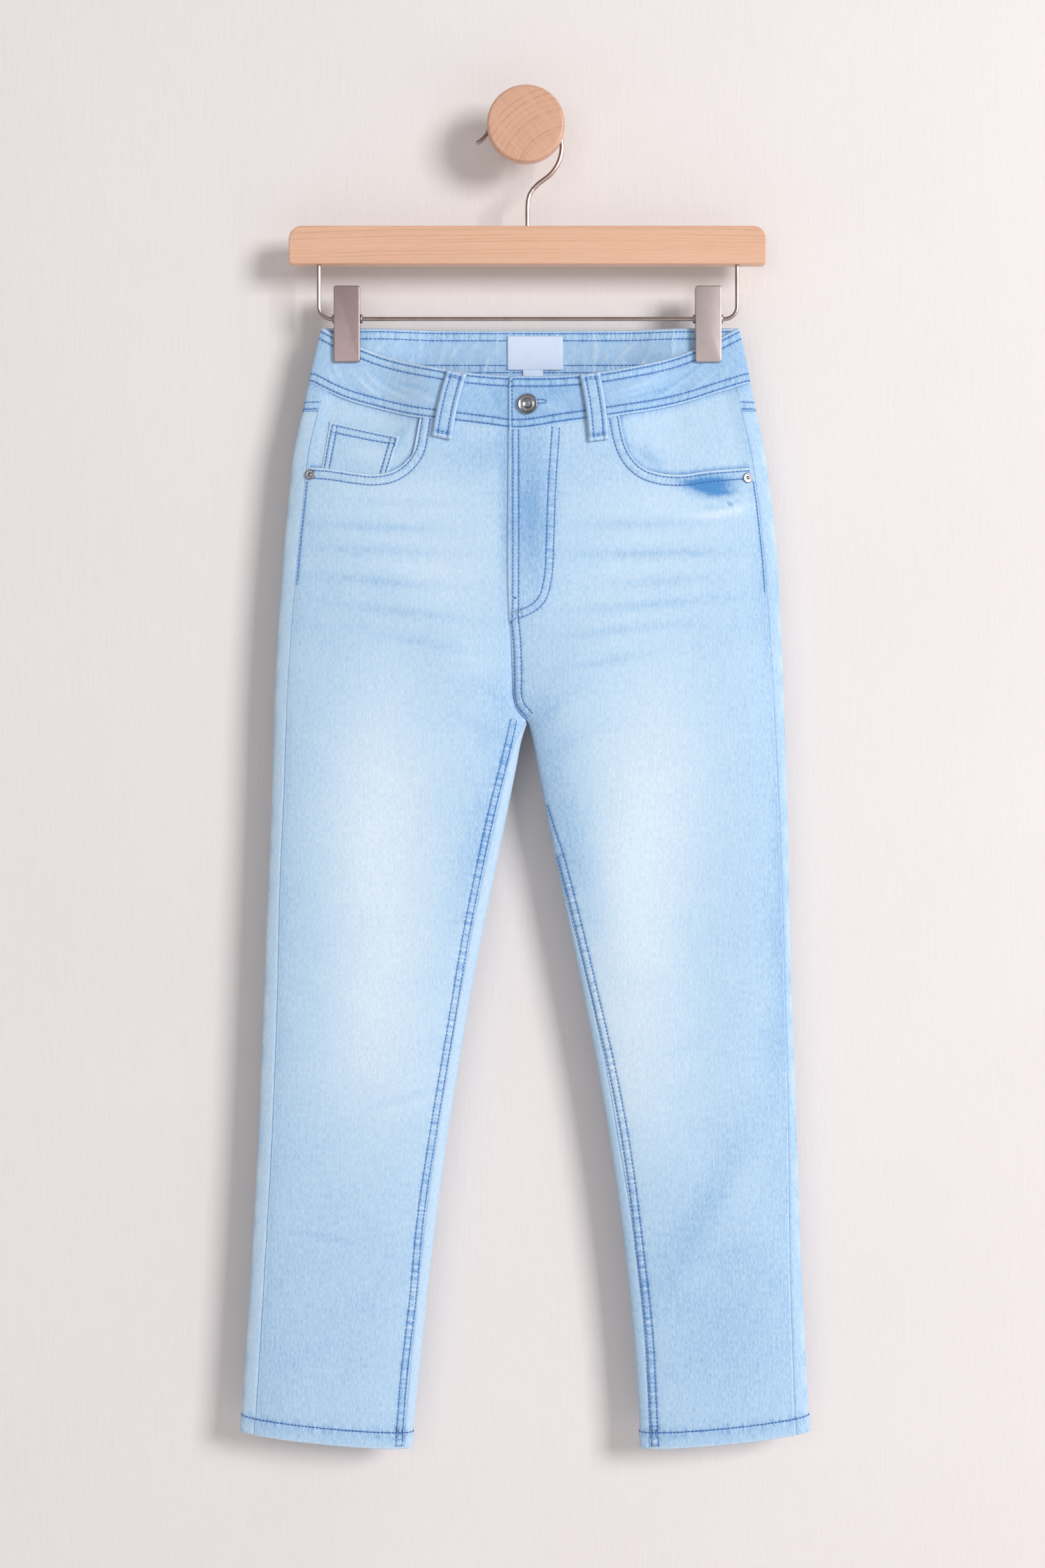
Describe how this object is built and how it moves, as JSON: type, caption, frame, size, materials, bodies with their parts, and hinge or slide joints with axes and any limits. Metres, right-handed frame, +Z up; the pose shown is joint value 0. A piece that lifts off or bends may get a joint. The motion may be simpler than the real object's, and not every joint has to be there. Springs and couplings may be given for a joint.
{
  "type": "capri jeans on a clip hanger and wall knob",
  "caption": "High-waisted cropped slim jeans in light blue stretch denim, held flat by the clips of a wooden hanger whose hook hangs on a round wooden wall knob.",
  "frame": {"origin": "middle of the flat back face of the wall knob, on the wall plane; everything hangs in front of it and below it", "axes": "+Z up, +Y into the wall, the garment's front faces -Y, and +X is the wearer's left"},
  "size_m": [0.4596, 0.0588, 1.092],
  "materials": {
    "denim": "washed light blue stretch twill",
    "band_denim": "washed light blue stretch twill, a little deeper",
    "label_tape": "woven white tape",
    "button_metal": "dark burnished",
    "bar_wood": "clear satin varnish",
    "knob_wood": "clear satin varnish",
    "hook_wire": "satin nickel plate",
    "clip_metal": "satin nickel plate"
  },
  "bodies": {
    "root": {"front_right": "denim", "front_left": "denim", "back_right": "denim", "back_left": "denim", "yoke_right": "denim", "yoke_left": "denim", "pocket_facing_right": "denim", "pocket_facing_left": "denim", "back_pocket_right": "denim", "back_pocket_left": "denim", "coin_pocket": "denim", "waistband": "band_denim", "belt_loop_front_right": "band_denim", "belt_loop_front_left": "band_denim", "belt_loop_back_right": "band_denim", "belt_loop_back_centre": "band_denim", "belt_loop_back_left": "band_denim", "neck_label": "label_tape", "size_tab": "label_tape", "waist_button": "button_metal", "rivet_right": "button_metal", "rivet_left": "button_metal", "hanger_bar": "bar_wood", "hanger_hook": "hook_wire", "clip_rail": "hook_wire", "clip_right_front_jaw": "clip_metal", "clip_right_back_jaw": "clip_metal", "clip_right_spring": "clip_metal", "clip_left_front_jaw": "clip_metal", "clip_left_back_jaw": "clip_metal", "clip_left_spring": "clip_metal", "wall_knob": "knob_wood"}
  },
  "joints": []
}
